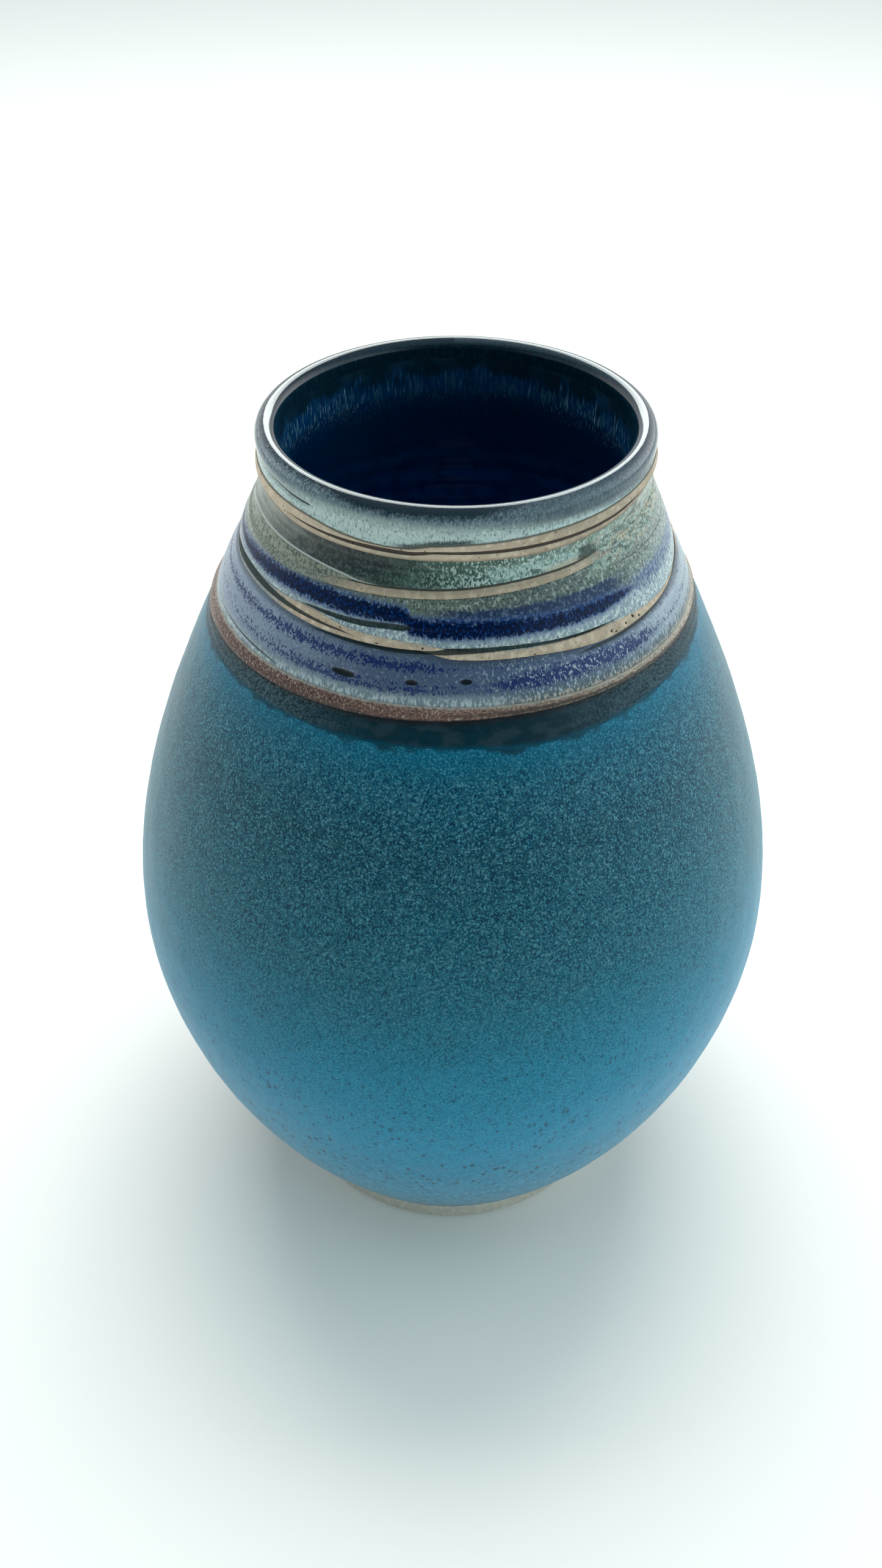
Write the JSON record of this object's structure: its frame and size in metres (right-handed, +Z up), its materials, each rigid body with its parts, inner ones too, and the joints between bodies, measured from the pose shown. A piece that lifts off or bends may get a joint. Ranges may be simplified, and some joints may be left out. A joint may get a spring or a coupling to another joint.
{
  "type": "stoneware vase",
  "caption": "Wheel-thrown ovoid vase with a collar neck, open mouth and bare foot ring; holds water and cut flowers upright on a table.",
  "frame": {"origin": "centre of the foot's underside, where the vase rests", "axes": "+Z up along the vase's axis, towards the mouth"},
  "size_m": [0.1646, 0.1644, 0.23],
  "materials": {
    "clay_body": "thin glaze broken over bare cream stoneware",
    "clay_foot": "bare turned stoneware, matt",
    "liner_glaze": "gloss",
    "drip_glaze": "gloss",
    "lip_glaze": "gloss",
    "celadon_glaze": "gloss, mottled",
    "green_glaze": "gloss, mottled",
    "cobalt_glaze": "gloss, mottled",
    "lavender_glaze": "satin, flecked",
    "copper_glaze": "satin",
    "iron_glaze": "satin",
    "turquoise_glaze": "satin, crystalline mottling"
  },
  "bodies": {
    "root": {"thrown_wall": "clay_body", "foot_ring": "clay_foot", "liner_glaze": "liner_glaze", "inner_drip_glaze": "drip_glaze", "lip_glaze": "lip_glaze", "celadon_glaze": "celadon_glaze", "green_glaze": "green_glaze", "cobalt_glaze": "cobalt_glaze", "lavender_glaze": "lavender_glaze", "copper_line": "copper_glaze", "iron_band": "iron_glaze", "turquoise_glaze": "turquoise_glaze"}
  },
  "joints": []
}
